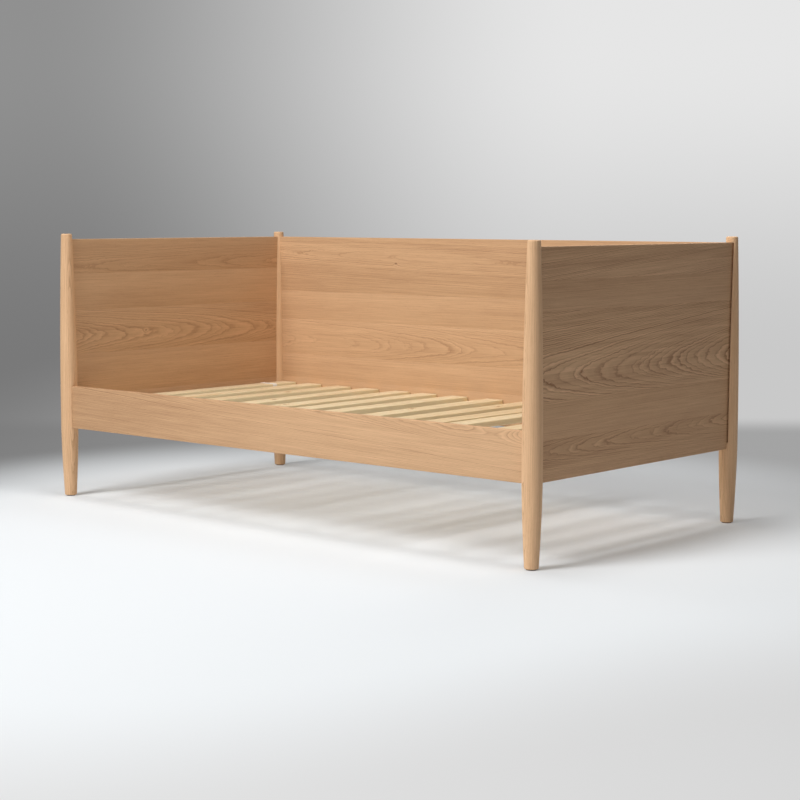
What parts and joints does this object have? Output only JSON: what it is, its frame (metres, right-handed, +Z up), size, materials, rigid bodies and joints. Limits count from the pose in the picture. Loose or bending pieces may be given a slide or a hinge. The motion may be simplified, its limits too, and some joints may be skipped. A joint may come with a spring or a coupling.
{
  "type": "daybed",
  "caption": "Oak daybed with turned round posts, solid back and end panels, a low front rail and a lift-out roll of pine slats on cleats.",
  "frame": {"origin": "on the floor, midway between the four posts", "axes": "+X along the bed towards the right end as seen from its open front, +Y towards the back panel, +Z up"},
  "size_m": [2.007, 1.057, 0.882],
  "materials": {
    "oak_post": "satin clear oil on turned oak, grain upright",
    "oak_panel": "satin clear oil on edge-glued oak boards, grain level",
    "pine": "planed and untreated",
    "beech": "fluted dowel, untreated",
    "steel": "bright zinc plate",
    "ribbon": "woven polyester ribbon",
    "glide": "moulded polyethylene"
  },
  "bodies": {
    "frame": {"post_front_left": "oak_post", "post_front_right": "oak_post", "post_back_left": "oak_post", "post_back_right": "oak_post", "left_end_panel": "oak_panel", "right_end_panel": "oak_panel", "back_panel": "oak_panel", "front_rail": "oak_panel", "front_cleat": "pine", "back_cleat": "pine", "left_end_dowels": "beech", "right_end_dowels": "beech", "back_panel_dowels": "beech", "front_rail_dowels": "beech", "front_cleat_screws": "steel", "back_cleat_screws": "steel", "hanger_bolts": "steel", "saddle_washers": "steel", "bolt_nuts": "steel", "glide_nails": "steel", "floor_glides": "glide"},
    "slat_roll": {"slat_01": "pine", "slat_02": "pine", "slat_03": "pine", "slat_04": "pine", "slat_05": "pine", "slat_06": "pine", "slat_07": "pine", "slat_08": "pine", "slat_09": "pine", "slat_10": "pine", "slat_11": "pine", "slat_12": "pine", "slat_13": "pine", "slat_14": "pine", "front_webbing": "ribbon", "back_webbing": "ribbon", "webbing_staples": "steel"}
  },
  "joints": [
    {"name": "slat_roll_lift", "type": "slide", "parent": "frame", "child": "slat_roll", "axis": [0, 0, 1], "range_m": [0, 0.62]}
  ]
}
